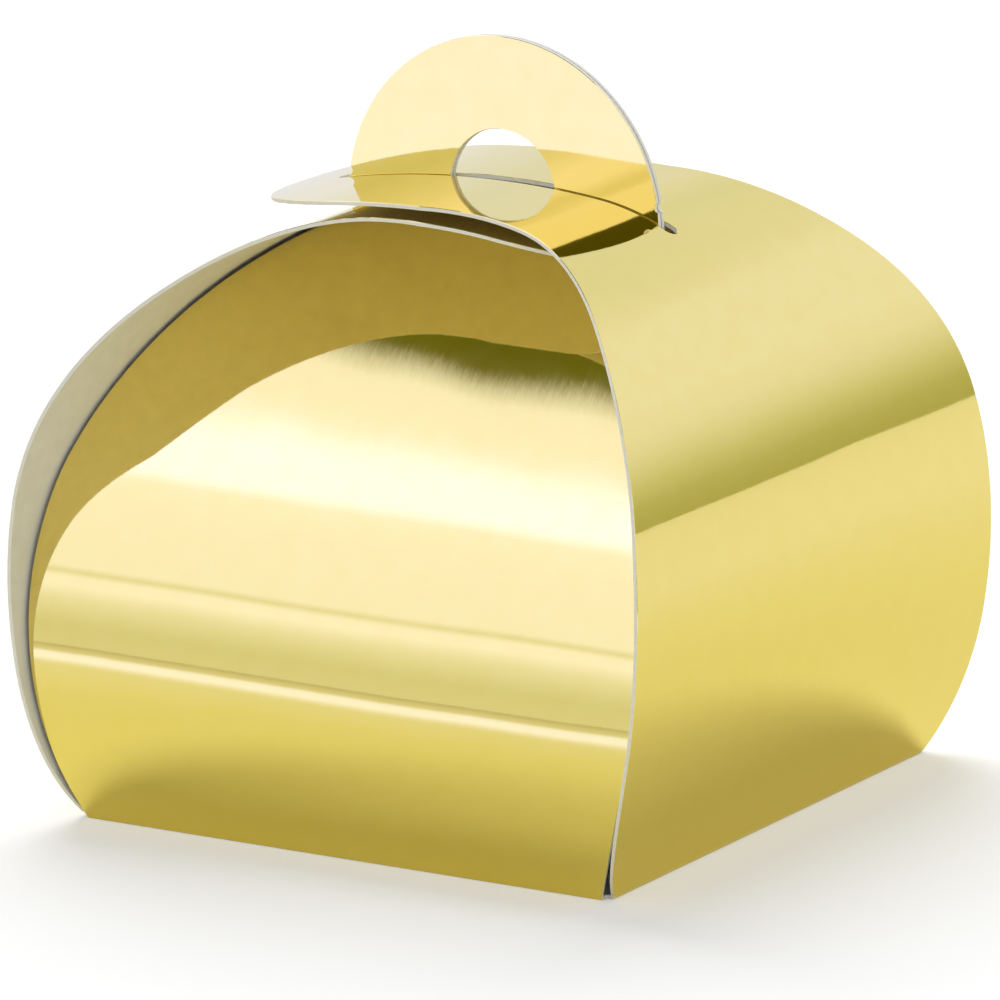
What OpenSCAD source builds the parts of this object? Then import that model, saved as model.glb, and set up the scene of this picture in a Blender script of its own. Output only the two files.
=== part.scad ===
// Favor box folded from one sheet of gold card: a square base, four walls that bow outwards,
// two tongues that cross over the top, and two half-round handle leaves that stand up through them.
// The origin is the middle of the underside. +X is the side of the outer tongue's wall, -Y the front.

/* [Box] */
// Length of each side of the square base, crease to crease
base_size = 60; // [58:0.5:72]
// How far each base crease stops short of the corners of the base
crease_end_gap = 0.9; // [0.6:0.1:2]
// Radius of the relief cut in each corner of the base
corner_relief_r = 0.9; // [0.6:0.1:1.2]

/* [Card] */
// Thickness of the card
card_t = 0.4; // [0.3:0.05:0.5]
// Gap between the round bead of a fold and each of the two panels it joins
fold_clear = 0.07; // [0.06:0.01:0.12]

/* [Walls] */
// Slope of every wall where it leaves the base crease
foot_a = 66; // [62:1:70]
// Radius of the long side bow of the left and right walls
side_r = 62.8; // [56:0.2:70]
// Slope of the left and right walls at the bend over the shoulder
bend_a = 142; // [136:1:146]
// How far both side edges of the left and right walls swell past the base crease
wall_flare = 4.7; // [2:0.1:6]
// Width of the left and right walls at the shoulder bend
wall_top_w = 43.2; // [38:0.2:48]
// Height at which the left and right walls are widest
wide_z = 15; // [10:1:24]

/* [Outer tongue, on the right wall] */
// Slope of the right wall where its side bow ends
outer_side_a = 100; // [96:1:104]
// Radius of the right shoulder above the bend
outer_crown_r = 23.4; // [22:0.2:27]
// Slope of the tongue where the crown ends
outer_crown_a = 173; // [170:1:176]
// How far the tip of the tongue stops short of the left bend
outer_tip_short = 0.5; // [0:0.1:2]
// How far the tip of the tongue lies above the left bend
outer_tip_rise = 5.7; // [5:0.1:6.4]

/* [Inner tongue, on the left wall] */
// Slope of the left wall where its side bow ends
inner_side_a = 95; // [92:1:98]
// Radius of the left shoulder below the bend
inner_shoulder_r = 29.2; // [27:0.2:31]
// Radius of the left shoulder above the bend
inner_crown_r = 33.6; // [30:0.2:36]
// Slope of the tongue where the crown ends
inner_crown_a = 176; // [172:1:178]
// How far the tip of the tongue stops short of the right bend
inner_tip_short = 1.05; // [1:0.05:1.3]
// How far the tip of the tongue lies below the right bend
inner_tip_drop = 0.1; // [0:0.1:1]

/* [Tongues] */
// Width of both tongues at the waist
tongue_w = 28; // [24:0.1:32]

/* [Front and back walls] */
// Radius of the front and back walls from the base crease to where they stand upright
end_foot_r = 29.4; // [26:0.2:34]
// Slope of the front and back walls where their belly ends and the long slope begins
end_belly_a = 130; // [126:1:134]
// Slope of the front and back walls where they close on the handle crease
end_ridge_a = 145.5; // [143:0.5:150]
// How far the handle creases lie below the crown of the inner tongue
ridge_drop = 2; // [1.8:0.1:3]

/* [Handle] */
// Outer radius of the half-round handle
handle_r = 17.6; // [15:0.1:18]
// Radius of the finger hole
hole_r = 5.9; // [5:0.1:7]
// Height of the middle of the finger hole above the middle of the round
hole_rise = 2.6; // [1:0.1:4]
// Height of the middle of the round above the handle crease
round_rise = 0.4; // [0.4:0.1:2]
// Height of the level lower edge of the finger hole above the handle crease
hole_floor = 1.2; // [0.8:0.1:2]
// Length of the crease that joins each leaf to its wall
handle_crease_len = 21; // [16:0.5:24]
// How far the handle stands to the right of the middle of the box
handle_shift = 0.8; // [0:0.1:1.2]
// Radius of the small catch notch in each side of a leaf
catch_r = 0.5; // [0.3:0.1:0.8]

/* [Fits] */
// How far the end of the outer tongue's crown lies above the end of the inner tongue's
tongue_rise = 1.02; // [0.8:0.02:1.4]
// Gap between the two handle leaves
leaf_gap = 0.2; // [0.1:0.1:0.4]
// Gap between the side edges of the front and back walls and the inside of the left wall
end_wall_gap = 0.5; // [0.3:0.1:1]
// Gap on each side of the handle in the slits
slit_side_gap = 0.3; // [0.2:0.05:0.5]
// Length of both slits past the handle on the side of the tongue's own wall
slit_lead = 1.5; // [1:0.1:2]
// Length of the outer tongue's slit past the handle on the side of its tip
outer_slit_trail = 1.2; // [1:0.1:1.6]
// Length of the inner tongue's slit past the handle on the side of its tip
inner_slit_trail = 1.5; // [1.4:0.1:1.7]

/* [Hidden] */
$fn = 180;
gold = "gold";
fold_gold = "goldenrod";
curve_steps = 12;
// Each arc of a profile runs this far into the next, so that the two join
seam_lap = 0.1;

// The side edge of a side wall from its crease to its widest place, as shares of that stretch: how
// far up the first pull is, how far up the second is, and how far out the first is
foot_side_shares = [0.2, 0.55, 0.65];
// The same from the widest place to the bend, with how far out the second pull is
wall_side_shares = [0.57, 0.8, 0.72];
// The side edge of a tongue from its bend to its waist: how far in along the tongue the first pull
// is, how far in across it, and how far along the second is
tongue_side_shares = [0.54, 1.36, 0.98];

card_half = card_t / 2;
fold_gap = card_half + fold_clear;
reach = base_size * 2;
crease_half = base_size / 2 - crease_end_gap;
wide_half = crease_half + wall_flare;
top_half = wall_top_w / 2;
waist_half = tongue_w / 2;
crease_p = [base_size / 2 - card_half, card_half];

// A profile is a row of tangent arcs in a wall's own plane: distance out, height. A turn is the way
// along an arc of radius one between two slopes.
function turn(a0, a1) = [sin(a1) - sin(a0), cos(a0) - cos(a1)];
function arc_end(p, a0, a1, r) = p + r * turn(a0, a1);
function side_end(side_a) = arc_end(crease_p, foot_a, side_a, side_r);
function bend_p(side_a, shoulder_r) = arc_end(side_end(side_a), side_a, bend_a, shoulder_r);
// The arc that leaves with slope a and passes d further on: its radius, and its slope there
function arch_r(d, a) = d * d / 2 / (d * [-sin(a), cos(a)]);
function arch_end_a(d, a) = 180 - asin(sin(a) + d.x / arch_r(d, a));

// The inner tongue's crown sets the height of the outer one's, which sets the right shoulder
inner_bend_p = bend_p(inner_side_a, inner_shoulder_r);
inner_crown_p = arc_end(inner_bend_p, bend_a, inner_crown_a, inner_crown_r);
outer_shoulder_rise = inner_crown_p.y + tongue_rise - side_end(outer_side_a).y
    - outer_crown_r * turn(bend_a, outer_crown_a).y;
outer_shoulder_r = outer_shoulder_rise / turn(outer_side_a, bend_a).y;
outer_bend_p = bend_p(outer_side_a, outer_shoulder_r);
outer_crown_p = arc_end(outer_bend_p, bend_a, outer_crown_a, outer_crown_r);

// Each tongue arches over to a tip that is placed from the opposite bend
outer_tip_p = [-inner_bend_p.x + outer_tip_short, inner_bend_p.y + outer_tip_rise];
inner_tip_p = [-outer_bend_p.x + inner_tip_short, outer_bend_p.y - inner_tip_drop];
outer_arch_d = outer_tip_p - outer_crown_p;
inner_arch_d = inner_tip_p - inner_crown_p;
outer_arch_r = arch_r(outer_arch_d, outer_crown_a);
inner_arch_r = arch_r(inner_arch_d, inner_crown_a);
outer_tip_a = arch_end_a(outer_arch_d, outer_crown_a);
inner_tip_a = arch_end_a(inner_arch_d, inner_crown_a);

// The front and back walls: foot, belly, and a long slope that closes on the handle crease. The
// last two radii follow from the way that is left between the foot and the crease.
handle_crease_p = [leaf_gap / 2 + card_half, inner_crown_p.y - ridge_drop];
end_upright_p = arc_end(crease_p, foot_a, 90, end_foot_r);
end_way = handle_crease_p - end_upright_p;
belly_turn = turn(90, end_belly_a);
slope_turn = turn(end_belly_a, end_ridge_a);
end_belly_r = cross(end_way, slope_turn) / cross(belly_turn, slope_turn);
end_slope_r = cross(belly_turn, end_way) / cross(belly_turn, slope_turn);
end_belly_p = arc_end(end_upright_p, 90, end_belly_a, end_belly_r);

round_z = handle_crease_p.y + round_rise;
slit_w = leaf_gap + 2 * card_t + 2 * slit_side_gap;

// One cubic curve through four points
function cubic(p, t) = p[0] * pow(1 - t, 3) + p[1] * 3 * t * pow(1 - t, 2)
    + p[2] * 3 * t * t * (1 - t) + p[3] * pow(t, 3);
function cubic_points(p) = [for (i = [0 : curve_steps]) cubic(p, i / curve_steps)];
function flipped(points) = [for (i = [len(points) - 1 : -1 : 0]) [-points[i].x, points[i].y]];

// Half-width against height, up one side edge of a side wall from its crease to its bend
function foot_side(s, h) = cubic_points([[crease_half, card_half],
    [crease_half + s[2] * wall_flare, card_half + s[0] * h],
    [wide_half, card_half + s[1] * h], [wide_half, wide_z]]);
function upper_side(s, h) = cubic_points([[wide_half, wide_z], [wide_half, wide_z + s[0] * h],
    [top_half + s[2] * (wide_half - top_half), wide_z + s[1] * h], [top_half, wide_z + h]]);
function wall_side(top_z) = concat([[crease_half, -card_t]],
    foot_side(foot_side_shares, wide_z - card_half), upper_side(wall_side_shares, top_z - wide_z),
    [[top_half, top_z + card_t]]);

// Points inside an arc of a profile, and inside the left wall up to the tip of its tongue
function arc_point(p, a0, a, r, inset) = p + r * [-sin(a0), cos(a0)] + (r - inset) * [sin(a), -cos(a)];
function inside_points(p, a0, a1, r, inset) =
    [for (i = [0 : curve_steps]) arc_point(p, a0, a0 + (a1 - a0) * i / curve_steps, r, inset)];
function inside_left(inset) = concat(
    inside_points(crease_p, foot_a, inner_side_a, side_r, inset),
    inside_points(side_end(inner_side_a), inner_side_a, bend_a, inner_shoulder_r, inset),
    inside_points(inner_bend_p, bend_a, inner_crown_a, inner_crown_r, inset),
    inside_points(inner_crown_p, inner_crown_a, inner_tip_a, inner_arch_r, inset));

// A strip of card seen edge on, along one arc of a profile
module bow(p, a0, a1, r) {
    end_a = a1 + seam_lap / r * 180 / PI;
    fan = [for (i = [0 : 2]) let (a = a0 + (end_a - a0) * i / 2) 2 * r * [sin(a), -cos(a)]];
    translate(p + r * [-sin(a0), cos(a0)]) intersection() {
        difference() {
            circle(r + card_half);
            circle(r - card_half);
        }
        polygon(concat([[0, 0]], fan));
    }
}

// The room that a fold needs between the ends of two panels
module fold_room(p, a) {
    translate(p) rotate(a) square([2 * fold_gap, 2 * card_t], center = true);
}

// Stretches a profile across the box, to lie in the plane of distance out and height
module across(w) {
    rotate([90, 0, 0]) linear_extrude(w, center = true) children();
}

module fold_bead(p, len) {
    color(fold_gold) translate([p.x, 0, p.y]) rotate([90, 0, 0])
        cylinder(r = card_half, h = len, center = true);
}

module side_wall(side_a, shoulder_r) {
    top_p = bend_p(side_a, shoulder_r);
    side = wall_side(top_p.y);
    color(gold) intersection() {
        across(reach) difference() {
            union() {
                bow(crease_p, foot_a, side_a, side_r);
                bow(side_end(side_a), side_a, bend_a, shoulder_r);
            }
            fold_room(crease_p, foot_a);
            fold_room(top_p, bend_a);
        }
        rotate([90, 0, 90]) linear_extrude(reach) polygon(concat(side, flipped(side)));
    }
}

// What the left wall and its tongue leave free, seen from the front
module left_opening() {
    inset = card_half + end_wall_gap;
    polygon(concat([[crease_half, -card_t]], inside_left(inset),
        [[-reach, inner_tip_p.y - inset], [-reach, -card_t]]));
}

// A front or back wall fills that opening, alike on both sides
module end_wall() {
    color(gold) intersection() {
        across(reach) difference() {
            union() {
                bow(crease_p, foot_a, 90, end_foot_r);
                bow(end_upright_p, 90, end_belly_a, end_belly_r);
                bow(end_belly_p, end_belly_a, end_ridge_a, end_slope_r);
            }
            fold_room(crease_p, foot_a);
            fold_room(handle_crease_p, end_ridge_a);
        }
        rotate([90, 0, 90]) linear_extrude(reach) intersection() {
            left_opening();
            mirror([1, 0]) left_opening();
        }
    }
}

// A slit with round ends
module slit(from_u, to_u) {
    for (u = [from_u + slit_w / 2, to_u - slit_w / 2])
        translate([0, u]) circle(d = slit_w);
    translate([-slit_w / 2, from_u + slit_w / 2]) square([slit_w, to_u - from_u - slit_w]);
}

// The outline of a tongue from above, from its bend to its round tip, with the slit for the handle
module tongue_plan(from_u, tip_u, slit_from_u, slit_to_u) {
    s = tongue_side_shares;
    side = cubic_points([[top_half, from_u],
        [top_half - s[1] * (top_half - waist_half), from_u * (1 - s[0])],
        [waist_half, from_u * (1 - s[2])], [waist_half, 0]]);
    round_end = [for (i = [0 : 2 * curve_steps]) let (a = 90 * i / curve_steps)
        [waist_half * cos(a), tip_u + waist_half - waist_half * sin(a)]];
    rotate(90) mirror([0, 1]) difference() {
        polygon(concat([[top_half, from_u + card_t]], side, round_end, flipped(side),
            [[-top_half, from_u + card_t]]));
        slit(slit_to_u, slit_from_u);
    }
}

module tongue(bend, crown_a, crown_r, crown_p, arch_r, tip_a, tip_p, slit_from_u, slit_to_u) {
    color(gold) intersection() {
        across(reach) difference() {
            union() {
                bow(bend, bend_a, crown_a, crown_r);
                bow(crown_p, crown_a, tip_a, arch_r);
            }
            fold_room(bend, bend_a);
        }
        linear_extrude(reach) tongue_plan(bend.x, tip_p.x, slit_from_u, slit_to_u);
    }
}

module base_panel() {
    side = base_size - card_t - 2 * fold_gap;
    color(gold) linear_extrude(card_t) difference() {
        square(side, center = true);
        for (x = [-1, 1], y = [-1, 1])
            translate([x, y] * crease_p.x) circle(corner_relief_r);
    }
}

module base_crease() {
    fold_bead(crease_p, 2 * crease_half);
}

module end_handle_crease() {
    fold_bead(handle_crease_p, handle_crease_len);
}

// One leaf of the handle: a half round with a finger hole, on a neck as long as its crease
module leaf() {
    color(gold) translate([0, -handle_crease_p.x, 0]) across(card_t) difference() {
        union() {
            translate([0, round_z]) intersection() {
                circle(handle_r);
                translate([-handle_r, card_half]) square(2 * handle_r);
            }
            translate([-handle_crease_len / 2, handle_crease_p.y + fold_gap])
                square([handle_crease_len, round_rise + card_t]);
        }
        intersection() {
            translate([0, round_z + hole_rise]) circle(hole_r);
            translate([-hole_r, handle_crease_p.y + hole_floor]) square(2 * hole_r);
        }
        for (x = [-1, 1])
            translate([x * handle_r, round_z + hole_rise]) circle(catch_r);
    }
}

module on_right() { children(); }
module on_left() { mirror([1, 0, 0]) children(); }
module on_front() { rotate([0, 0, -90]) children(); }
module on_back() { rotate([0, 0, 90]) children(); }
module at_handle() { translate([handle_shift, 0, 0]) children(); }

module front_base_crease() { on_front() base_crease(); }
module back_base_crease() { on_back() base_crease(); }
module left_base_crease() { on_left() base_crease(); }
module right_base_crease() { on_right() base_crease(); }

module front_wall() { on_front() end_wall(); }
module back_wall() { on_back() end_wall(); }
module left_wall() { on_left() side_wall(inner_side_a, inner_shoulder_r); }
module right_wall() { on_right() side_wall(outer_side_a, outer_shoulder_r); }

module left_shoulder_bend() { on_left() fold_bead(inner_bend_p, wall_top_w); }
module right_shoulder_bend() { on_right() fold_bead(outer_bend_p, wall_top_w); }

module left_tongue() {
    on_left() tongue(inner_bend_p, inner_crown_a, inner_crown_r, inner_crown_p, inner_arch_r, inner_tip_a,
        inner_tip_p, handle_r - handle_shift + slit_lead, -handle_r - handle_shift - inner_slit_trail);
}
module right_tongue() {
    on_right() tongue(outer_bend_p, outer_crown_a, outer_crown_r, outer_crown_p, outer_arch_r, outer_tip_a,
        outer_tip_p, handle_r + handle_shift + slit_lead, -handle_r + handle_shift - outer_slit_trail);
}

module front_handle_crease() { at_handle() on_front() end_handle_crease(); }
module back_handle_crease() { at_handle() on_back() end_handle_crease(); }
module front_handle() { at_handle() leaf(); }
module back_handle() { at_handle() mirror([0, 1, 0]) leaf(); }

base_panel();
front_base_crease();
back_base_crease();
left_base_crease();
right_base_crease();
front_wall();
back_wall();
left_wall();
right_wall();
left_shoulder_bend();
right_shoulder_bend();
left_tongue();
right_tongue();
front_handle_crease();
back_handle_crease();
front_handle();
back_handle();
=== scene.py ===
"""Favor box folded from one sheet of foiled card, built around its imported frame.

Every card starts as a flat die-cut blank with its outline, slit and finger hole. A node tree
then bends it over a row of tangent bows, which are the bows of the frame's own panels.
"""

import math

import bmesh
import bpy
import numpy as np
from bpy.props import FloatProperty, FloatVectorProperty, IntProperty, PointerProperty
from mathutils import Matrix, Vector
from mathutils.geometry import delaunay_2d_cdt


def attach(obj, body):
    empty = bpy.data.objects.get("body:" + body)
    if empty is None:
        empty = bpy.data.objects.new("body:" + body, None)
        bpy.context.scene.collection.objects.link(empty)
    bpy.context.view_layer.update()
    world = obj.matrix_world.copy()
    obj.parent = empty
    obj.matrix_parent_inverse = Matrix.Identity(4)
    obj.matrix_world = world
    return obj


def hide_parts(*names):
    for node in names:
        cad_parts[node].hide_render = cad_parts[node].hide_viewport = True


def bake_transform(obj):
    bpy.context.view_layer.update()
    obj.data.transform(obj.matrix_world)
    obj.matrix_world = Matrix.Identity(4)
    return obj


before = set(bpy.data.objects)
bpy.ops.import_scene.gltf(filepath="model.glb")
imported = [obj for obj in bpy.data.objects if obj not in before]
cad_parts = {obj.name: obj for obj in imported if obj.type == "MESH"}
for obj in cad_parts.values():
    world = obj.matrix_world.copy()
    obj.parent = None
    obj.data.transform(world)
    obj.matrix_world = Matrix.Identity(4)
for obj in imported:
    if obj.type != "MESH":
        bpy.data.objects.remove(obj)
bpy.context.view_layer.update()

bl_info = {
    "name": "Favor Box",
    "version": (1, 0, 0),
    "blender": (4, 5, 0),
    "location": "View3D > Sidebar > Favor Box",
    "description": "Folds a favor box with two crossing tongues and a handle from foiled card",
    "category": "Add Mesh",
}

MM = 0.001

# Sizes of the folded frame, in millimetres, and its slopes, in degrees
BASE_SIZE = 60.0
CARD = 0.4
FOLD_GAP = 0.27
CREASE_HALF = 29.1
CORNER_RELIEF = 0.9
WIDE_HALF = 33.8
WIDE_HEIGHT = 15.0
TOP_HALF = 21.6
WAIST_HALF = 14.0
FOOT_SLOPE = 66.0
BEND_SLOPE = 142.0
SIDE_RADIUS = 62.8
INNER_SIDE_SLOPE = 95.0
INNER_SHOULDER = 29.2
INNER_CROWN = 33.6
INNER_CROWN_SLOPE = 176.0
INNER_TIP_SHORT = 1.05
INNER_TIP_DROP = 0.1
OUTER_SIDE_SLOPE = 100.0
OUTER_CROWN = 23.4
OUTER_CROWN_SLOPE = 173.0
OUTER_TIP_SHORT = 0.5
OUTER_TIP_RISE = 5.7
TONGUE_RISE = 1.02
END_FOOT = 29.4
BELLY_SLOPE = 130.0
RIDGE_SLOPE = 145.5
END_WALL_GAP = 0.5
RIDGE_DROP = 2.0
LEAF_GAP = 0.2
HANDLE_RADIUS = 17.6
HANDLE_SHIFT = 0.8
HOLE_RADIUS = 5.9
HOLE_RISE = 2.6
ROUND_RISE = 0.4
HOLE_FLOOR = 1.2
NECK_HALF = 10.5
NOTCH_RADIUS = 0.5
SLIT_WIDTH = 1.6
SLIT_LEAD = 1.5
OUTER_SLIT_TRAIL = 1.2
INNER_SLIT_TRAIL = 1.5
CREASE = (BASE_SIZE / 2 - CARD / 2, CARD / 2)
# How the outline of a side card pulls between its corners, as shares of the way: at the foot
# across, up and up, over the widest place up, across and up, and at the waist in, along and along
FOOT_PULL = (0.65, 0.2, 0.55)
TOP_PULL = (0.57, 0.72, 0.8)
WAIST_PULL = (1.36, 0.54, 0.98)
# How finely the blanks are laid out, in millimetres: steps along outlines and between columns,
# half the width that the columns fill on a card and on a crease, steps between the rows of a
# fold and of a shoulder, and how far the shoulder's rows reach to each side
OUTLINE_STEP = 1.0
COLUMN_STEP = 1.8
COLUMN_HALF = 36
CREASE_COLUMNS = 28.8
FOLD_STEP = 0.08
SHOULDER_STEP = 0.3
SHOULDER_HALF = 2
# Chamfer of the short creases beside the base
CREASE_BEVEL = 0.01


# Bows

def turn(a0, a1):
    """The way along an arc of radius one between two slopes, in degrees: out, up."""
    a0, a1 = math.radians(a0), math.radians(a1)
    return math.sin(a1) - math.sin(a0), math.cos(a0) - math.cos(a1)


def arc_end(start, a0, a1, radius):
    out, up = turn(a0, a1)
    return start[0] + radius * out, start[1] + radius * up


def arch(start, slope, end):
    """Radius, and slope at its end, of the arc that leaves start at a slope and passes end."""
    out, up = end[0] - start[0], end[1] - start[1]
    a = math.radians(slope)
    radius = (out * out + up * up) / 2 / (-out * math.sin(a) + up * math.cos(a))
    return radius, 180 - math.degrees(math.asin(math.sin(a) + out / radius))


class Profile:
    """A card seen edge on: a row of tangent bows, with distances measured along the card."""

    def __init__(self, start, slope, bows):
        self.start, self.slope, self.bows = start, slope, bows
        self.spans = []
        place, at, gone = start, slope, 0.0
        for end, radius in bows:
            self.spans.append((gone, place, at, end, radius))
            gone += radius * math.radians(end - at)
            place, at = arc_end(place, at, end, radius), end
        self.end, self.end_slope, self.length = place, at, gone

    def place(self, distance):
        """Out and up at a distance along the card."""
        if distance <= 0:
            place, slope, past = self.start, self.slope, distance
        elif distance >= self.length:
            place, slope, past = self.end, self.end_slope, distance - self.length
        else:
            gone, place, at, _, radius = [s for s in self.spans if s[0] <= distance][-1]
            return arc_end(place, at, at + math.degrees((distance - gone) / radius), radius)
        a = math.radians(slope)
        return place[0] + past * math.cos(a), place[1] + past * math.sin(a)

    def distance_at(self, axis, value, low, high):
        """Where out (axis 0) or up (axis 1) has a value, between two distances."""
        rising = self.place(high)[axis] > self.place(low)[axis]
        for _ in range(50):
            middle = (low + high) / 2
            if (self.place(middle)[axis] < value) == rising:
                low = middle
            else:
                high = middle
        return (low + high) / 2


def cubic(points, parts=16):
    """Points along a cubic curve, from its four control points."""
    made = []
    for i in range(parts + 1):
        t = i / parts
        shares = (1 - t) ** 3, 3 * t * (1 - t) ** 2, 3 * t * t * (1 - t), t ** 3
        made.append(tuple(sum(s * p[k] for s, p in zip(shares, points)) for k in (0, 1)))
    return made


def side_bows():
    """The bows of the right and left cards, from base crease to tongue tip."""
    inner_side, outer_side = (arc_end(CREASE, FOOT_SLOPE, slope, SIDE_RADIUS)
                              for slope in (INNER_SIDE_SLOPE, OUTER_SIDE_SLOPE))
    inner_bend = arc_end(inner_side, INNER_SIDE_SLOPE, BEND_SLOPE, INNER_SHOULDER)
    inner_crown = arc_end(inner_bend, BEND_SLOPE, INNER_CROWN_SLOPE, INNER_CROWN)
    crown_rise = OUTER_CROWN * turn(BEND_SLOPE, OUTER_CROWN_SLOPE)[1]
    rise = inner_crown[1] + TONGUE_RISE - outer_side[1] - crown_rise
    outer_shoulder = rise / turn(OUTER_SIDE_SLOPE, BEND_SLOPE)[1]
    outer_bend = arc_end(outer_side, OUTER_SIDE_SLOPE, BEND_SLOPE, outer_shoulder)
    outer_crown = arc_end(outer_bend, BEND_SLOPE, OUTER_CROWN_SLOPE, OUTER_CROWN)
    outer_tip = (-inner_bend[0] + OUTER_TIP_SHORT, inner_bend[1] + OUTER_TIP_RISE)
    inner_tip = (-outer_bend[0] + INNER_TIP_SHORT, outer_bend[1] - INNER_TIP_DROP)
    outer_arch, outer_end = arch(outer_crown, OUTER_CROWN_SLOPE, outer_tip)
    inner_arch, inner_end = arch(inner_crown, INNER_CROWN_SLOPE, inner_tip)
    return [Profile(CREASE, FOOT_SLOPE, bows) for bows in (
        [(OUTER_SIDE_SLOPE, SIDE_RADIUS), (BEND_SLOPE, outer_shoulder),
         (OUTER_CROWN_SLOPE, OUTER_CROWN), (outer_end, outer_arch)],
        [(INNER_SIDE_SLOPE, SIDE_RADIUS), (BEND_SLOPE, INNER_SHOULDER),
         (INNER_CROWN_SLOPE, INNER_CROWN), (inner_end, inner_arch)])]


OUTER, INNER = side_bows()
RIDGE = (LEAF_GAP / 2 + CARD / 2, INNER.spans[3][1][1] - RIDGE_DROP)
ROUND_HEIGHT = RIDGE[1] + ROUND_RISE


def fold_reach(fold, a0, a1):
    """How far a fold of a centre radius runs along each of the two panels that it joins."""
    return fold * math.tan(math.radians(abs(a1 - a0)) / 2)


def crease_bows(fold, bow_radius):
    """Start of the fold in a base crease, and its bow, which runs on into a wall's first bow."""
    reach = fold_reach(fold, 0, FOOT_SLOPE)
    return (CREASE[0] - reach, CREASE[1]), FOOT_SLOPE + math.degrees(reach / bow_radius)


def end_bows(fold):
    """The bows of the front and back cards, from the base panel to the handle leaf."""
    upright = arc_end(CREASE, FOOT_SLOPE, 90, END_FOOT)
    way = Vector((RIDGE[0] - upright[0], RIDGE[1] - upright[1]))
    belly, slope = Vector(turn(90, BELLY_SLOPE)), Vector(turn(BELLY_SLOPE, RIDGE_SLOPE))
    share = belly.cross(slope)
    belly_radius, slope_radius = way.cross(slope) / share, belly.cross(way) / share
    start, foot = crease_bows(fold, END_FOOT)
    reach = fold_reach(fold, 90, RIDGE_SLOPE)
    return Profile(start, 0, [
        (foot, fold), (90, END_FOOT), (BELLY_SLOPE, belly_radius),
        (RIDGE_SLOPE - math.degrees(reach / slope_radius), slope_radius), (90, -fold)])


# Blanks

# The zones of a card's faces
FOILED, PLAIN, CUT = 0, 1, 2
# A loop has a corner where it turns by more than this, and an edge of a mesh is smooth below
# that, in degrees
CORNER_TURN = 20
SMOOTH_TURN = 30


def inside(points, loop):
    """For each point, whether it lies inside a closed loop."""
    x, y = np.array(points, float).T[..., None]
    x0, y0 = np.array(loop, float).T
    x1, y1 = np.roll(x0, -1), np.roll(y0, -1)
    rise = np.where(y1 == y0, 1.0, y1 - y0)
    crossed = ((y0 > y) != (y1 > y)) & (x < (x1 - x0) * (y - y0) / rise + x0)
    return crossed.sum(1) % 2 == 1


def arc_points(centre, radius, first, last, parts):
    """Points along an arc, between two angles in radians."""
    angles = [first + (last - first) * i / parts for i in range(parts + 1)]
    return [(centre[0] + radius * math.cos(a), centre[1] + radius * math.sin(a)) for a in angles]


def split_loop(loop, longest):
    """The loop again, with its long edges cut into shorter ones and its doubles left out."""
    made = []
    for (x0, y0), (x1, y1) in zip(loop, loop[1:] + loop[:1]):
        length = math.hypot(x1 - x0, y1 - y0)
        parts = math.ceil(length / longest) if length > 1e-4 else 0
        made += [(x0 + (x1 - x0) * i / parts, y0 + (y1 - y0) * i / parts) for i in range(parts)]
    return made


def edge_distance(points, loops):
    """Distance from each point to the nearest edge of the loops."""
    p = np.array(points, float)[:, None, :]
    nearest = np.full(len(points), np.inf)
    for loop in loops:
        a = np.array(loop, float)[None]
        ab = np.roll(a, -1, axis=1) - a
        t = np.clip(((p - a) * ab).sum(2) / (ab * ab).sum(2), 0, 1)
        d = np.linalg.norm(p - (a + ab * t[..., None]), axis=2)
        nearest = np.minimum(nearest, d.min(1))
    return nearest


def is_corner(before, here, after):
    way_in, way_out = Vector(here) - Vector(before), Vector(after) - Vector(here)
    return way_in.angle(way_out) > math.radians(CORNER_TURN)


def crossed_loop(loop, rows, near, row_ends):
    """The loop with a vertex at each row that it crosses. A vertex that lies near a crossing
    gives way to it, but a corner stays, and a row that ends beside it ends at it."""
    marks = []
    for before, here, after in zip(loop[-1:] + loop[:-1], loop, loop[1:] + loop[:1]):
        marks.append((here, None, is_corner(before, here, after)))
        crossed = [r for r in rows if (here[0] > r) != (after[0] > r)]
        for r in sorted(crossed, reverse=here[0] > after[0]):
            share = (r - here[0]) / (after[0] - here[0])
            marks.append(((r, here[1] + share * (after[1] - here[1])), r, False))
    made = []
    for i, (point, row, corner) in enumerate(marks):
        beside = [marks[i - 1], marks[(i + 1) % len(marks)]]
        if row is not None:
            close = [p for p, _, c in beside if c and math.dist(p, point) < near / 3]
            row_ends[row].append(close[0] if close else point)
            if not close:
                made.append(point)
        elif corner or not any(r is not None and math.dist(p, point) < near
                               for p, r, _ in beside):
            made.append(point)
    return made


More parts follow.
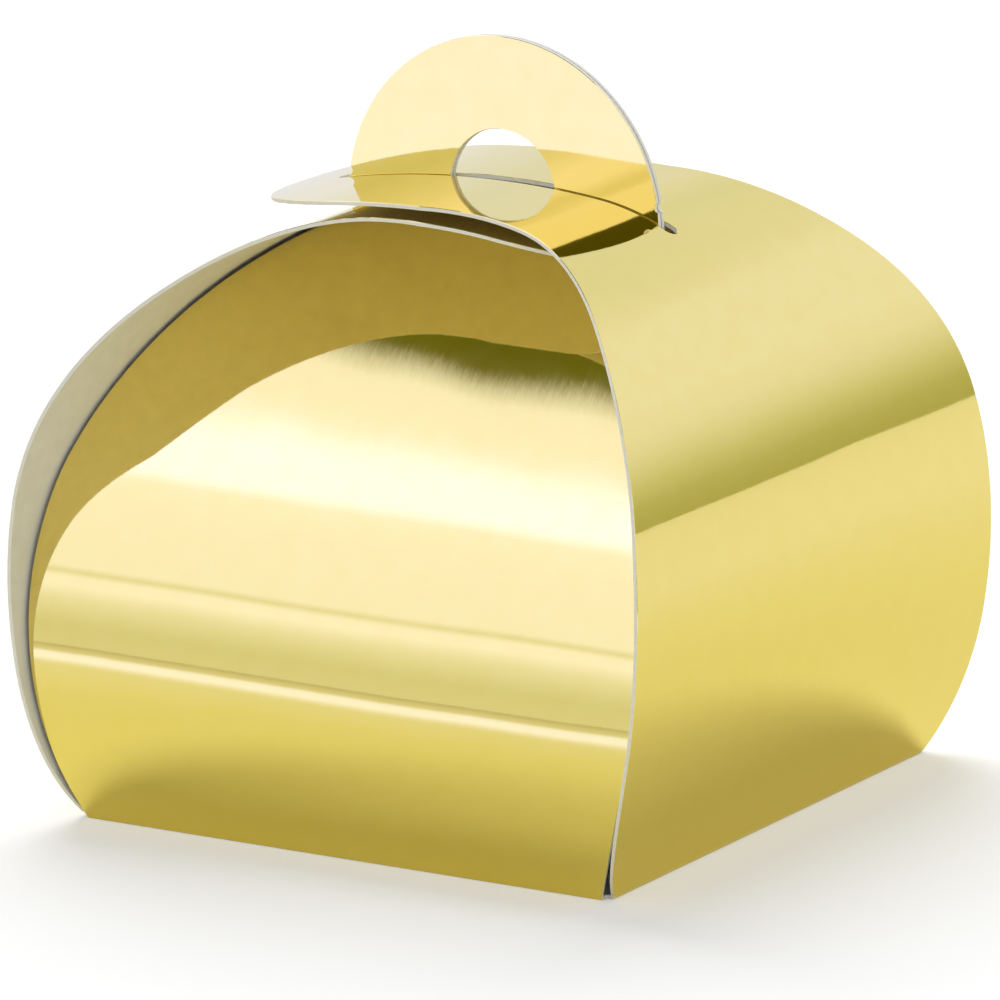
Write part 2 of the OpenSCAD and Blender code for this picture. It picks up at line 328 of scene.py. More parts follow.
def lay_out(loops, rows, columns, clear):
    """Triangles that fill the first loop and leave the others open, with a vertex row at each
    given distance, so that the blank bends along straight lines. In (along, across)."""
    # Rows that would only graze an edge are left out
    turns = [v for loop in loops for v in (min(p[0] for p in loop), max(p[0] for p in loop))]
    rows = [r for r in rows if all(abs(r - v) > clear for v in turns)]
    row_ends = {r: [] for r in rows}
    cut = [crossed_loop(loop, rows, clear, row_ends) for loop in loops]
    verts, edges, index = [], [], {}

    def add(p):
        key = (round(p[0], 5), round(p[1], 5))
        if key not in index:
            index[key] = len(verts)
            verts.append(Vector(p))
        return index[key]

    for loop in cut:
        ids = [add(p) for p in loop]
        edges += list(zip(ids, ids[1:] + ids[:1]))
    for r, ends in row_ends.items():
        ends = sorted(ends, key=lambda p: p[1])
        for low, high in zip(ends[::2], ends[1::2]):
            between = [(r, c) for c in columns if low[1] < c < high[1]]
            if between:
                far = edge_distance(between, loops) > clear
                between = [p for p, ok in zip(between, far) if ok]
            ids = [add(p) for p in [low, *between, high]]
            edges += [(a, b) for a, b in zip(ids, ids[1:]) if a != b]
    points, _, faces, *_ = delaunay_2d_cdt(verts, edges, [], 0, 1e-6)
    points = [(p[0], p[1]) for p in points]
    # Slivers between vertices in line along an edge belong to neither side of it
    faces = [f if area(points, f) > 0 else f[::-1] for f in faces if abs(area(points, f)) > 2e-5]
    middles = [tuple(sum(points[i][k] for i in f) / 3 for k in (0, 1)) for f in faces]
    filled = inside(middles, cut[0])
    for hole in cut[1:]:
        filled &= ~inside(middles, hole)
    return points, [tuple(f) for f, ok in zip(faces, filled) if ok]


def area(points, face):
    """Twice the area of a triangle, which is positive where it runs round to the left."""
    (ax, ay), (bx, by), (cx, cy) = (points[i] for i in face)
    return (bx - ax) * (cy - ay) - (cx - ax) * (by - ay)


def card_blank(name, loops, rows, columns, bevel):
    """A flat blank of the card's thickness, in metres, with a small chamfer round each cut.
    Its faces carry their zone."""
    points, faces = lay_out(loops, rows, columns, 3.5 * bevel)
    sides = {side for f in faces for side in zip(f, f[1:] + f[:1])}
    rim = sorted(side for side in sides if side[::-1] not in sides)
    after = {a: b for a, b in rim}
    before = {b: a for a, b in rim}
    inset = {}
    for v in after:
        here = Vector(points[v])
        ways = [(here - Vector(points[before[v]])).normalized(),
                (Vector(points[after[v]]) - here).normalized()]
        inward = [Vector((-w.y, w.x)) for w in ways]
        both = inward[0] + inward[1]
        inset[v] = both / max(both.length_squared / 2, 0.5)
    mesh = bmesh.new()
    zone = mesh.faces.layers.int.new("zone")
    half = CARD / 2

    def put(v, height, share):
        x, y = points[v]
        if v in inset:
            x, y = x + inset[v].x * share, y + inset[v].y * share
        return mesh.verts.new((x * MM, y * MM, height * MM))

    used = sorted({i for f in faces for i in f})
    top = {v: put(v, half, bevel) for v in used}
    low = {v: put(v, -half, bevel) for v in used}
    upper = {v: put(v, half - bevel, 0) for v in after}
    lower = {v: put(v, bevel - half, 0) for v in after}
    for f in faces:
        mesh.faces.new([top[i] for i in f])[zone] = FOILED
        mesh.faces.new([low[i] for i in reversed(f)])[zone] = PLAIN
    for a, b in rim:
        for ring, under, kind in ((top, upper, FOILED), (upper, lower, CUT), (lower, low, PLAIN)):
            mesh.faces.new([ring[a], under[a], under[b], ring[b]])[zone] = kind
    mesh.normal_update()
    for f in mesh.faces:
        f.smooth = True
    for e in mesh.edges:
        flat_enough = e.calc_face_angle(0) < math.radians(SMOOTH_TURN)
        e.smooth = len(e.link_faces) == 2 and flat_enough
    made = bpy.data.meshes.new(name)
    mesh.to_mesh(made)
    mesh.free()
    return made


def steps(low, high, size):
    """Even rows from low to high, no further apart than size."""
    parts = max(1, math.ceil((high - low) / size))
    return [low + (high - low) * i / parts for i in range(parts + 1)]


# Node trees

FLOAT, VECTOR, GEOMETRY = "NodeSocketFloat", "NodeSocketVector", "NodeSocketGeometry"
CARD_SIDES = ("Foiled Side", "Plain Side", "Cut Edge")
# How far the low waves take to begin after the base crease, in wave sizes
WAVES_BEGIN = (0.1, 0.5)


class Nodes:
    """A node tree as it is built. An input is a value, or the socket that feeds it."""

    def __init__(self, tree):
        self.tree = tree

    def feed(self, socket, value):
        if isinstance(value, bpy.types.NodeSocket):
            self.tree.links.new(value, socket)
        else:
            socket.default_value = value

    def add(self, kind, inputs=None, **settings):
        """A new node. A shader node goes by its short name."""
        made = self.tree.nodes.new(kind if "Node" in kind else "ShaderNode" + kind)
        for key, value in settings.items():
            setattr(made, key, value)
        for key, value in (inputs or {}).items():
            self.feed(made.inputs[key], value)
        return made

    def get(self, kind, inputs=None, **settings):
        """The first output of a new node."""
        return self.add(kind, inputs, **settings).outputs[0]

    def math(self, operation, *values, clamp=False):
        return self.get("Math", dict(enumerate(values)), operation=operation, use_clamp=clamp)

    def plus(self, one, two):
        return self.math("ADD", one, two)

    def minus(self, one, two):
        return self.math("SUBTRACT", one, two)

    def times(self, one, two):
        return self.math("MULTIPLY", one, two)

    def over(self, one, two, clamp=False):
        return self.math("DIVIDE", one, two, clamp=clamp)

    def vector(self, operation, one, two):
        return self.get("VectorMath", {0: one, 1: two}, operation=operation)

    def xyz(self, x=0.0, y=0.0, z=0.0):
        return self.get("CombineXYZ", {0: x, 1: y, 2: z})

    def noise(self, place, scale, detail, roughness=0.5):
        return self.get("TexNoise", {
            "Vector": place, "Scale": scale, "Detail": detail, "Roughness": roughness})

    def mapped(self, value, low, high, to_low=0.0, to_high=1.0, way="SMOOTHSTEP"):
        """A value carried over from one span to another."""
        return self.get("MapRange", {
            "Value": value, "From Min": low, "From Max": high,
            "To Min": to_low, "To Max": to_high}, interpolation_type=way)

    def mix(self, share, one, two):
        """Two colours, mixed by a share of the second."""
        return self.add("Mix", {0: share, 6: one, 7: two}, data_type="RGBA").outputs[2]


def shared_group(name, kind, inputs, outputs, fill):
    """The node group of a name, made at its first use. A socket goes by its type, or by its
    default where it is a number, and fill(nodes, given) returns what feeds the outputs."""
    found = bpy.data.node_groups.get(name)
    if found:
        return found
    tree = bpy.data.node_groups.new(name, kind)
    for side, sockets in (("INPUT", inputs), ("OUTPUT", outputs)):
        for label, wanted in sockets.items():
            if isinstance(wanted, str):
                tree.interface.new_socket(label, in_out=side, socket_type=wanted)
            else:
                socket = tree.interface.new_socket(label, in_out=side, socket_type=FLOAT)
                socket.default_value = wanted
    nodes = Nodes(tree)
    given, result = nodes.add("NodeGroupInput"), nodes.add("NodeGroupOutput")
    for socket, value in zip(result.inputs, fill(nodes, given.outputs)):
        nodes.feed(socket, value)
    return tree


def bow_stage(nodes, given):
    """One bow: the way that a place on the card moves, how far it turns, and the bow's end."""
    start, radius = given["Start Slope"], given["Radius"]
    whole = nodes.minus(given["End Slope"], start)
    length = nodes.times(whole, radius)
    gone = nodes.minus(given["Distance"], given["Start Distance"])
    turned = nodes.times(nodes.over(gone, length, clamp=True), whole)
    slope = nodes.plus(turned, start)
    out = nodes.minus(nodes.math("SINE", slope), nodes.math("SINE", start))
    up = nodes.minus(nodes.math("COSINE", start), nodes.math("COSINE", slope))
    way = nodes.xyz(nodes.times(out, radius), z=nodes.times(up, radius))
    return way, turned, nodes.plus(given["Start Distance"], length)


def bow_stage_group():
    inputs = {"Distance": 0.0, "Start Distance": 0.0, "Start Slope": 0.0, "End Slope": 1.0,
              "Radius": 0.05}
    outputs = {"Way": VECTOR, "Turned": FLOAT, "End Distance": FLOAT}
    return shared_group("Bow stage", "GeometryNodeTree", inputs, outputs, bow_stage)


def fold_over_bows(nodes, given, bows):
    """Bends a flat blank over a number of bows, in a wall's own plane, and turns it to its side."""
    flat = nodes.get("GeometryNodeInputPosition")
    kept = nodes.get("GeometryNodeStoreNamedAttribute", {
        "Geometry": given["Geometry"], "Name": "sheet_place", "Value": flat},
        data_type="FLOAT_VECTOR", domain="POINT")
    along, across, height = nodes.add("SeparateXYZ", {0: flat}).outputs
    # Low waves of the card, the same on both of its sides
    noise = nodes.get("TexNoise", {
        "Vector": nodes.xyz(along, across), "W": given["Seed"], "Detail": 1.0,
        "Scale": nodes.over(1.0, given["Wave Size"])}, noise_dimensions="4D")
    wave = nodes.times(nodes.minus(noise, 0.5), given["Wave Height"])
    begun = nodes.mapped(along, *(nodes.times(given["Wave Size"], share) for share in WAVES_BEGIN))
    lifted = nodes.plus(height, nodes.times(wave, begun))
    slope, distance, turned, total = given["Start Slope"], 0.0, given["Start Slope"], None
    for i in range(bows):
        end = given[f"Bow {i + 1} End Slope"]
        bow = nodes.add("GeometryNodeGroup", {
            "Distance": along, "Start Distance": distance, "Start Slope": slope,
            "End Slope": end, "Radius": given[f"Bow {i + 1} Radius"]},
            node_tree=bow_stage_group()).outputs
        turned = nodes.plus(turned, bow["Turned"])
        total = nodes.vector("ADD", total, bow["Way"]) if total else bow["Way"]
        slope, distance = end, bow["End Distance"]
    # The card runs on straight before its first bow and after its last
    tail = nodes.plus(nodes.math("MINIMUM", along, 0.0),
                      nodes.math("MAXIMUM", nodes.minus(along, distance), 0.0))
    cosine, sine = nodes.math("COSINE", turned), nodes.math("SINE", turned)
    straight = nodes.xyz(nodes.times(tail, cosine), z=nodes.times(tail, sine))
    outward = nodes.xyz(nodes.times(lifted, sine), nodes.times(across, -1.0),
                        nodes.times(nodes.times(lifted, cosine), -1.0))
    for part in (straight, outward, nodes.xyz(given["Start Out"], z=given["Start Height"])):
        total = nodes.vector("ADD", total, part)
    bent = nodes.get("GeometryNodeSetPosition", {"Geometry": kept, "Position": total})
    swung = nodes.get("GeometryNodeTransform", {
        "Geometry": bent, "Rotation": nodes.xyz(z=given["Side Turn"])})
    made = nodes.get("GeometryNodeRealizeInstances", {"Geometry": swung})
    zone = nodes.get("GeometryNodeInputNamedAttribute", {"Name": "zone"}, data_type="INT")
    for kind, label in zip((FOILED, PLAIN, CUT), CARD_SIDES):
        chosen = nodes.get("FunctionNodeCompare", {2: zone, 3: kind},
                           data_type="INT", operation="EQUAL")
        made = nodes.get("GeometryNodeSetMaterial", {
            "Geometry": made, "Selection": chosen, "Material": given[label]})
    return [made]


def folded_card_tree(bows):
    sockets = {"Geometry": GEOMETRY, "Start Out": 0.0, "Start Height": 0.0, "Start Slope": 0.0}
    for i in range(bows):
        sockets |= {f"Bow {i + 1} End Slope": 1.0, f"Bow {i + 1} Radius": 0.05}
    sockets |= {"Side Turn": 0.0, "Wave Height": 0.0, "Wave Size": 0.02, "Seed": 0.0}
    sockets |= dict.fromkeys(CARD_SIDES, "NodeSocketMaterial")
    return shared_group(
        f"Folded card, {bows} bows", "GeometryNodeTree", sockets, {"Geometry": GEOMETRY},
        lambda nodes, given: fold_over_bows(nodes, given, bows))


def fold_card(name, blank, profile, side_turn, seed, wave_height):
    """The finished card: the blank bent by the node tree, as one plain mesh at the origin."""
    finishes = card_finishes()
    for finish in finishes:
        blank.materials.append(finish)
    piece = bpy.data.objects.new(name, blank)
    bpy.context.scene.collection.objects.link(piece)
    modifier = piece.modifiers.new("Fold", "NODES")
    modifier.node_group = folded_card_tree(len(profile.bows))
    values = {
        "Start Out": profile.start[0] * MM, "Start Height": profile.start[1] * MM,
        "Start Slope": math.radians(profile.slope), "Side Turn": math.radians(side_turn),
        "Wave Height": wave_height, "Wave Size": bpy.context.scene.favor_box_card.wave_size,
        "Seed": float(seed), **dict(zip(CARD_SIDES, finishes))}
    for i, (end, radius) in enumerate(profile.bows):
        values[f"Bow {i + 1} End Slope"] = math.radians(end)
        values[f"Bow {i + 1} Radius"] = radius * MM
    for item in modifier.node_group.interface.items_tree:
        if item.in_out == "INPUT" and item.name in values:
            modifier[item.identifier] = values[item.name]
    piece.update_tag()
    graph = bpy.context.evaluated_depsgraph_get()
    folded = bpy.data.meshes.new_from_object(piece.evaluated_get(graph))
    piece.modifiers.clear()
    piece.data = folded
    folded.name = name
    bpy.data.meshes.remove(blank)
    return piece


# Finishes

# The span of the fibres' noise that colours and roughness follow
MOTTLE = (0.3, 0.7)
# What rubbed patches and hair scratches add to the foil's roughness
FOIL_RUBBED, FOIL_HAIRLINE = 0.04, 0.08
# The colours of rubbed board, and of the line between the plies of a cut edge
RUBBED_BOARD = (0.62, 0.58, 0.48)
PLY_LINE = (0.5, 0.46, 0.38)


def rgba(colour, share=(1, 1, 1)):
    """A colour as a socket takes it, with its parts times their shares."""
    return (*(c * s for c, s in zip(colour, share)), 1.0)


def emptied(owner):
    """The node tree of a material or a world, with nothing in it."""
    owner.use_nodes = True
    owner.node_tree.nodes.clear()
    return owner.node_tree


def card_fibre(nodes, given):
    """Fine fibre relief of the card, pressed through the foil, on the flat sheet's own place."""
    size = nodes.over(1.0, given["Fibre Size"])
    stretched = nodes.xyz(given["Stretch"], 1.0, 1.0)
    grain = nodes.vector("MULTIPLY", given["Place"], stretched)
    fine = nodes.noise(grain, size, 3.0, 0.6)
    broad = nodes.noise(given["Place"], nodes.times(size, 0.22), 2.0)
    return nodes.plus(fine, nodes.times(broad, 1.5)), broad


def fibre_group():
    inputs = {"Place": VECTOR, "Fibre Size": 0.0006, "Stretch": 0.35}
    outputs = {"Height": FLOAT, "Mottle": FLOAT}
    return shared_group("Card fibre", "ShaderNodeTree", inputs, outputs, card_fibre)


def handling_scuffs(nodes, given):
    """Rubbed patches and sparse hair scratches."""
    patch = nodes.noise(given["Place"], nodes.over(1.0, given["Patch Size"]), 5.0, 0.65)
    rubbed = nodes.mapped(patch, 0.5, 0.72)
    long_way = nodes.get("Mapping", {
        "Vector": given["Place"], "Rotation": (0.0, 0.0, 0.6), "Scale": (90.0, 2600.0, 1.0)})
    hairline = nodes.mapped(nodes.noise(long_way, 1.0, 1.0), 0.72, 0.78)
    return [nodes.times(mask, given["Amount"]) for mask in (rubbed, hairline)]


def scuff_group():
    inputs = {"Place": VECTOR, "Patch Size": 0.02, "Amount": 0.5}
    outputs = {"Rubbed": FLOAT, "Hairline": FLOAT}
    return shared_group("Handling scuffs", "ShaderNodeTree", inputs, outputs, handling_scuffs)


class Finish(Nodes):
    """A new finish of the card, with its fibres pressed through it."""

    def __init__(self, name, fibre_size, stretch, strength, relief):
        self.material = bpy.data.materials.new(name)
        super().__init__(emptied(self.material))
        self.place = self.add("Attribute", attribute_name="sheet_place").outputs["Vector"]
        fibre = self.add("Group", {
            "Place": self.place, "Fibre Size": fibre_size, "Stretch": stretch},
            node_tree=fibre_group()).outputs
        self.mottle = fibre["Mottle"]
        bump = self.get("Bump", {
            "Height": fibre["Height"], "Strength": strength, "Distance": relief})
        self.shader = self.add("BsdfPrincipled", {"Normal": bump})
        self.add("OutputMaterial", {"Surface": self.shader.outputs[0]})

    def scuffs(self, patch_size, amount):
        """Masks of the rubbed patches and of the hair scratches."""
        made = self.add("Group", {
            "Place": self.place, "Patch Size": patch_size, "Amount": amount},
            node_tree=scuff_group()).outputs
        return made["Rubbed"], made["Hairline"]

    def mottled(self, low, high):
        return self.mapped(self.mottle, *MOTTLE, low, high, "LINEAR")

    def fibre_rough(self, least):
        return self.plus(self.times(self.mottle, 0.2), least)

    def done(self, colour, roughness):
        self.feed(self.shader.inputs["Base Color"], colour)
        self.feed(self.shader.inputs["Roughness"], roughness)
        return self.material


def gold_foil(look):
    """Bright gold foil laid over card: a mirror that the fibres under it break up finely."""
    foil = Finish("gold_foil", look.fibre_size, stretch=0.35, strength=1.0,
                  relief=look.fibre_relief)
    rubbed, hairline = foil.scuffs(patch_size=0.018, amount=0.3)
    colour = foil.mix(foil.mottled(0.0, 1.0), rgba(look.foil_deep), rgba(look.foil_colour))
    rough = foil.mottled(look.foil_roughness * 0.85, look.foil_roughness * 1.15)
    rough = foil.plus(rough, foil.times(rubbed, FOIL_RUBBED))
    rough = foil.plus(rough, foil.times(hairline, FOIL_HAIRLINE))
    foil.shader.inputs["Metallic"].default_value = 1.0
    return foil.done(colour, rough)


def white_board(look):
    """The uncoated white side of the card."""
    board = Finish("white_board", 0.0004, stretch=0.4, strength=0.6, relief=0.00002)
    rubbed, _ = board.scuffs(patch_size=0.012, amount=0.6)
    shade = rgba(look.board_colour, (0.95,) * 3)
    colour = board.mix(board.mottled(0.0, 1.0), shade, rgba(look.board_colour))
    colour = board.mix(board.times(rubbed, 0.3), colour, rgba(RUBBED_BOARD))
    return board.done(colour, board.fibre_rough(0.6))


def cut_edge(look):
    """The cut through the card: pressed white fibres with a faint line between its plies."""
    edge = Finish("cut_edge", 0.00012, stretch=0.5, strength=0.8, relief=0.00002)
    depth = edge.add("SeparateXYZ", {0: edge.place}).outputs["Z"]
    ply = edge.math("ABSOLUTE", edge.times(depth, 2 / (CARD * MM)))
    line = edge.mapped(ply, 0.0, 0.2, 0.3, 0.0, "LINEAR")
    shade = rgba(look.edge_colour, (0.88,) * 3)
    colour = edge.mix(edge.mottle, shade, rgba(look.edge_colour))
    return edge.done(edge.mix(line, colour, rgba(PLY_LINE)), edge.fibre_rough(0.65))


def card_finishes():
    """The three finishes of the card, made once: foiled side, plain side and cut edge."""
    look = bpy.context.scene.favor_box_look
    return [bpy.data.materials.get(make.__name__) or make(look)
            for make in (gold_foil, white_board, cut_edge)]


# Settings

class FavorBoxCard(bpy.types.PropertyGroup):
    """Sizes of the card that the frame leaves open."""

    fold_radius: FloatProperty(
        name="Fold Radius", description="Radius of the middle of the card round each scored fold",
        default=0.25 * MM, min=0.21 * MM, max=0.4 * MM, subtype="DISTANCE", unit="LENGTH")
    bevel: FloatProperty(
        name="Cut Bevel", description="Width of the small chamfer along each cut edge",
        default=0.04 * MM, min=0.01 * MM, max=0.1 * MM, subtype="DISTANCE", unit="LENGTH")
    row_size: FloatProperty(
        name="Row Size", description="Distance between the vertex rows that the card bends at",
        default=0.4 * MM, min=0.2 * MM, max=2 * MM, subtype="DISTANCE", unit="LENGTH")
    wave_height: FloatProperty(
        name="Wave Height", description="Height of the low waves in the card",
        default=0.12 * MM, min=0.0, max=0.5 * MM, subtype="DISTANCE", unit="LENGTH")
    wave_size: FloatProperty(
        name="Wave Size", description="Distance from one low wave of the card to the next",
        default=24 * MM, min=5 * MM, max=80 * MM, subtype="DISTANCE", unit="LENGTH")
    seed: IntProperty(name="Seed", description="Picks another set of low waves", default=3, min=0)


class FavorBoxLook(bpy.types.PropertyGroup):
    """Colours and finishes of the card."""

    foil_colour: FloatVectorProperty(
        name="Foil", description="Colour of the gold foil where it is brightest",
        default=(0.93, 0.765, 0.255), min=0.0, max=1.0, subtype="COLOR", size=3)
    foil_deep: FloatVectorProperty(
        name="Foil, Deep", description="Colour of the gold foil in its slightly deeper patches",
        default=(0.922, 0.752, 0.238), min=0.0, max=1.0, subtype="COLOR", size=3)
    foil_roughness: FloatProperty(
        name="Foil Roughness", description="Roughness of the foil between its fibres",
        default=0.038, min=0.0, max=1.0, subtype="FACTOR")
    fibre_size: FloatProperty(
        name="Fibre Size", description="Size of the fibre relief that shows through the foil",
        default=0.6 * MM, min=0.1 * MM, max=5 * MM, subtype="DISTANCE", unit="LENGTH")
    fibre_relief: FloatProperty(
        name="Fibre Relief", description="Height of the fibre relief that shows through the foil",
        default=0.0008 * MM, min=0.0, max=0.05 * MM, subtype="DISTANCE", unit="LENGTH")
    board_colour: FloatVectorProperty(
        name="Board", description="Colour of the plain side of the card",
        default=(0.85, 0.845, 0.79), min=0.0, max=1.0, subtype="COLOR", size=3)
    edge_colour: FloatVectorProperty(
        name="Cut Edge", description="Colour of the cut edges of the card",
        default=(0.88, 0.87, 0.80), min=0.0, max=1.0, subtype="COLOR", size=3)


class FavorBoxStudio(bpy.types.PropertyGroup):
    """The stage that the box is photographed on."""

    camera_place: FloatVectorProperty(
        name="Camera", description="Where the camera stands",
        default=(0.5696, -0.9120, 0.3051), subtype="TRANSLATION", unit="LENGTH", size=3)
    camera_yaw: FloatProperty(
        name="Yaw", description="How far the camera is turned to the left of straight back",
        default=math.radians(32.0), subtype="ANGLE", unit="ROTATION")
    camera_pitch: FloatProperty(
        name="Pitch", description="How far the camera looks down",
        default=math.radians(14.42), subtype="ANGLE", unit="ROTATION")
    camera_roll: FloatProperty(
        name="Roll", description="How far the camera is rolled",
        default=math.radians(-0.82), subtype="ANGLE", unit="ROTATION")
    lens: FloatProperty(
        name="Lens", description="Focal length of the camera in millimetres",
        default=412.3, min=20.0, max=2000.0)
    floor_colour: FloatVectorProperty(
        name="Floor", description="Colour of the plain pale floor",
        default=(0.715, 0.72, 0.73), min=0.0, max=1.0, subtype="COLOR", size=3)
    floor_middle: FloatVectorProperty(
        name="Floor Middle", description="Where the middle of the round floor lies",
        default=(-0.215, -0.59), subtype="TRANSLATION", unit="LENGTH", size=2)
    floor_radius: FloatProperty(
        name="Floor Radius", description="Radius of the round floor",
        default=1.2, min=0.5, max=10.0, subtype="DISTANCE", unit="LENGTH")
    floor_lift: FloatProperty(
        name="Floor Lift", description="Added to the floor as seen, so that it is white when lit",
        default=0.31, min=0.0, max=1.0)
    key_power: FloatProperty(
        name="Key Light", description="Power of the soft lamp behind the box",
        default=11.5, min=0.0, max=100.0, subtype="POWER", unit="POWER")
    key_azimuth: FloatProperty(
        name="Key Azimuth", description="The side that the soft lamp stands on",
        default=math.radians(130.0), subtype="ANGLE", unit="ROTATION")
    key_elevation: FloatProperty(
        name="Key Elevation", description="How high the soft lamp stands",
        default=math.radians(56.0), subtype="ANGLE", unit="ROTATION")
    key_distance: FloatProperty(
        name="Key Distance", description="Distance of the soft lamp from the box",
        default=1.2, min=0.3, max=5.0, subtype="DISTANCE", unit="LENGTH")
    key_size: FloatProperty(
        name="Key Size", description="Diameter of the soft lamp",
        default=1.0, min=0.05, max=3.0, subtype="DISTANCE", unit="LENGTH")


# Pieces

def settle(piece, slot, *nodes):
    """Hides the CAD nodes that a piece stands for; the slot is not used."""
    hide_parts(*nodes)


def wide_card(name, outline, hole, rows, profile, side_turn, seed):
    """A folded card with a hole in it, from the loops and rows of its blank."""
    card = bpy.context.scene.favor_box_card
    loops = [split_loop(outline, OUTLINE_STEP), split_loop(hole, OUTLINE_STEP)]
    columns = steps(-COLUMN_HALF, COLUMN_HALF, COLUMN_STEP)
    blank = card_blank(name, loops, rows, columns, card.bevel / MM)
    return fold_card(name, blank, profile, side_turn, seed, card.wave_height)


def wall_edge(profile, bend_at):
    """One side edge of a side wall, from crease to bend, in (along, across)."""
    top = profile.place(bend_at)[1]
    low, flare = CARD / 2, WIDE_HALF - CREASE_HALF
    foot, rise = WIDE_HEIGHT - low, top - WIDE_HEIGHT
    curve = cubic([(CREASE_HALF, low),
                   (CREASE_HALF + FOOT_PULL[0] * flare, low + FOOT_PULL[1] * foot),
                   (WIDE_HALF, low + FOOT_PULL[2] * foot), (WIDE_HALF, WIDE_HEIGHT)])
    curve += cubic([(WIDE_HALF, WIDE_HEIGHT), (WIDE_HALF, WIDE_HEIGHT + TOP_PULL[0] * rise),
                    (TOP_HALF + TOP_PULL[1] * (WIDE_HALF - TOP_HALF),
                     WIDE_HEIGHT + TOP_PULL[2] * rise), (TOP_HALF, top)])[1:]
    edge = [(profile.distance_at(1, z, 0, bend_at), w) for w, z in curve]
    first = next(i for i, (s, _) in enumerate(edge) if s > FOLD_GAP)
    share = (FOLD_GAP - edge[first - 1][0]) / (edge[first][0] - edge[first - 1][0])
    across = edge[first - 1][1] + share * (edge[first][1] - edge[first - 1][1])
    return [(FOLD_GAP, across)] + edge[first:]


def tongue_edge(profile, bend_at):
    """One side edge of a tongue, from bend to the middle of its round tip."""
    bend, tip = profile.spans[2][1][0], profile.end[0]
    pull_in, pull_out, pull_on = WAIST_PULL
    curve = cubic([(TOP_HALF, bend),
                   (TOP_HALF - pull_in * (TOP_HALF - WAIST_HALF), bend * (1 - pull_out)),
                   (WAIST_HALF, bend * (1 - pull_on)), (WAIST_HALF, 0)])[1:]
    curve += arc_points((0, tip + WAIST_HALF), WAIST_HALF, 0, -math.pi / 2, 32)
    return [(profile.distance_at(0, u, bend_at, profile.length + 1), w) for w, u in curve]


def slit_loop(profile, bend_at, from_u, to_u):
    """A slit with round ends along the middle of a tongue."""
    radius, quarter = SLIT_WIDTH / 2, math.pi / 2
    ends = (arc_points((from_u - radius, 0), radius, -quarter, quarter, 16)
            + arc_points((to_u + radius, 0), radius, quarter, 3 * quarter, 16))
    return [(profile.distance_at(0, u, bend_at, profile.length + 1), w) for u, w in ends]


def side_card(name, profile, side_turn, slit, seed):
    """A left or right card: wall, shoulder bend and tongue with its slit, in one sheet."""
    bend_at, row = profile.spans[2][0], bpy.context.scene.favor_box_card.row_size / MM
    edge = wall_edge(profile, bend_at) + tongue_edge(profile, bend_at)
    outline = edge + [(s, -w) for s, w in reversed(edge)]
    hole = slit_loop(profile, bend_at, *slit)
    before, after = bend_at - SHOULDER_HALF, bend_at + SHOULDER_HALF
    rows = (steps(0, before, row)[1:-1] + steps(before, after, SHOULDER_STEP)
            + steps(after, profile.length, row)[1:])
    return wide_card(name, outline, hole, rows, profile, side_turn, seed)


class FAVORBOX_OT_side_cards(bpy.types.Operator):
    """Fold the right and left cards, whose tongues cross over the top"""

    bl_idname = "favorbox.side_cards"
    bl_label = "Side Cards"

    def execute(self, context):
        seed = context.scene.favor_box_card.seed
        right, left = HANDLE_RADIUS + HANDLE_SHIFT, HANDLE_RADIUS - HANDLE_SHIFT
        outer_slit = (right + SLIT_LEAD, -left - OUTER_SLIT_TRAIL)
        inner_slit = (left + SLIT_LEAD, -right - INNER_SLIT_TRAIL)
        for side, wall_body, tongue_body, profile, side_turn, way, slit in (
                ("right", "right_side", "outer_tongue", OUTER, 0, 1, outer_slit),
                ("left", "left_side", "inner_tongue", INNER, 180, -1, inner_slit)):
            piece = side_card(f"{side}_card", profile, side_turn, slit, seed + side_turn)
            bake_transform(piece)
            settle(piece, "gold_card", f"{side}_wall", f"{side}_shoulder_bend", f"{side}_tongue")
        return {"FINISHED"}


def end_edge(profile, ridge_at, top_at):
    """One side edge of the front and back walls, which follows the inside of the left card,
    in (along, across)."""
    inset = CARD / 2 + END_WALL_GAP
    curve = []
    for distance in steps(0, INNER.spans[3][0] + 12, 1.0):
        before, here, after = (INNER.place(distance + d) for d in (-0.01, 0, 0.01))
        way = Vector(after) - Vector(before)
        way.normalize()
        curve.append((here[0] - inset * way.y, here[1] + inset * way.x))
    top = profile.place(top_at)[1]
    fold = bpy.context.scene.favor_box_card.fold_radius / MM
    edge = [(fold_reach(fold, 0, FOOT_SLOPE) - FOLD_GAP, CREASE_HALF)]
    for (w0, z0), (w1, z1) in zip(curve, curve[1:]):
        edge.append((profile.distance_at(1, z0, 0, ridge_at), w0))
        if z1 >= top:
            edge.append((top_at, w0 + (top - z0) / (z1 - z0) * (w1 - w0)))
            return edge
    raise RuntimeError("The side edge of an end card stays below its handle crease")


def notched_round():
    """The right half of the leaf's round, from its foot to its top, with its catch notch.
    In (across, height over the middle of the round)."""
    notch = Vector((HANDLE_RADIUS, HOLE_RISE))
    far, facing = notch.length, math.atan2(notch.y, notch.x)
    squares = HANDLE_RADIUS ** 2, far ** 2, NOTCH_RADIUS ** 2
    half = math.acos((squares[0] + squares[1] - squares[2]) / (2 * HANDLE_RADIUS * far))
    bite = math.acos((squares[1] + squares[2] - squares[0]) / (2 * far * NOTCH_RADIUS))
    low, inward = math.asin(CARD / 2 / HANDLE_RADIUS), facing + math.pi
    return (arc_points((0, 0), HANDLE_RADIUS, low, facing - half, 8)
            + arc_points(notch, NOTCH_RADIUS, inward + bite, inward - bite, 8)
            + arc_points((0, 0), HANDLE_RADIUS, facing + half, math.pi / 2, 72))


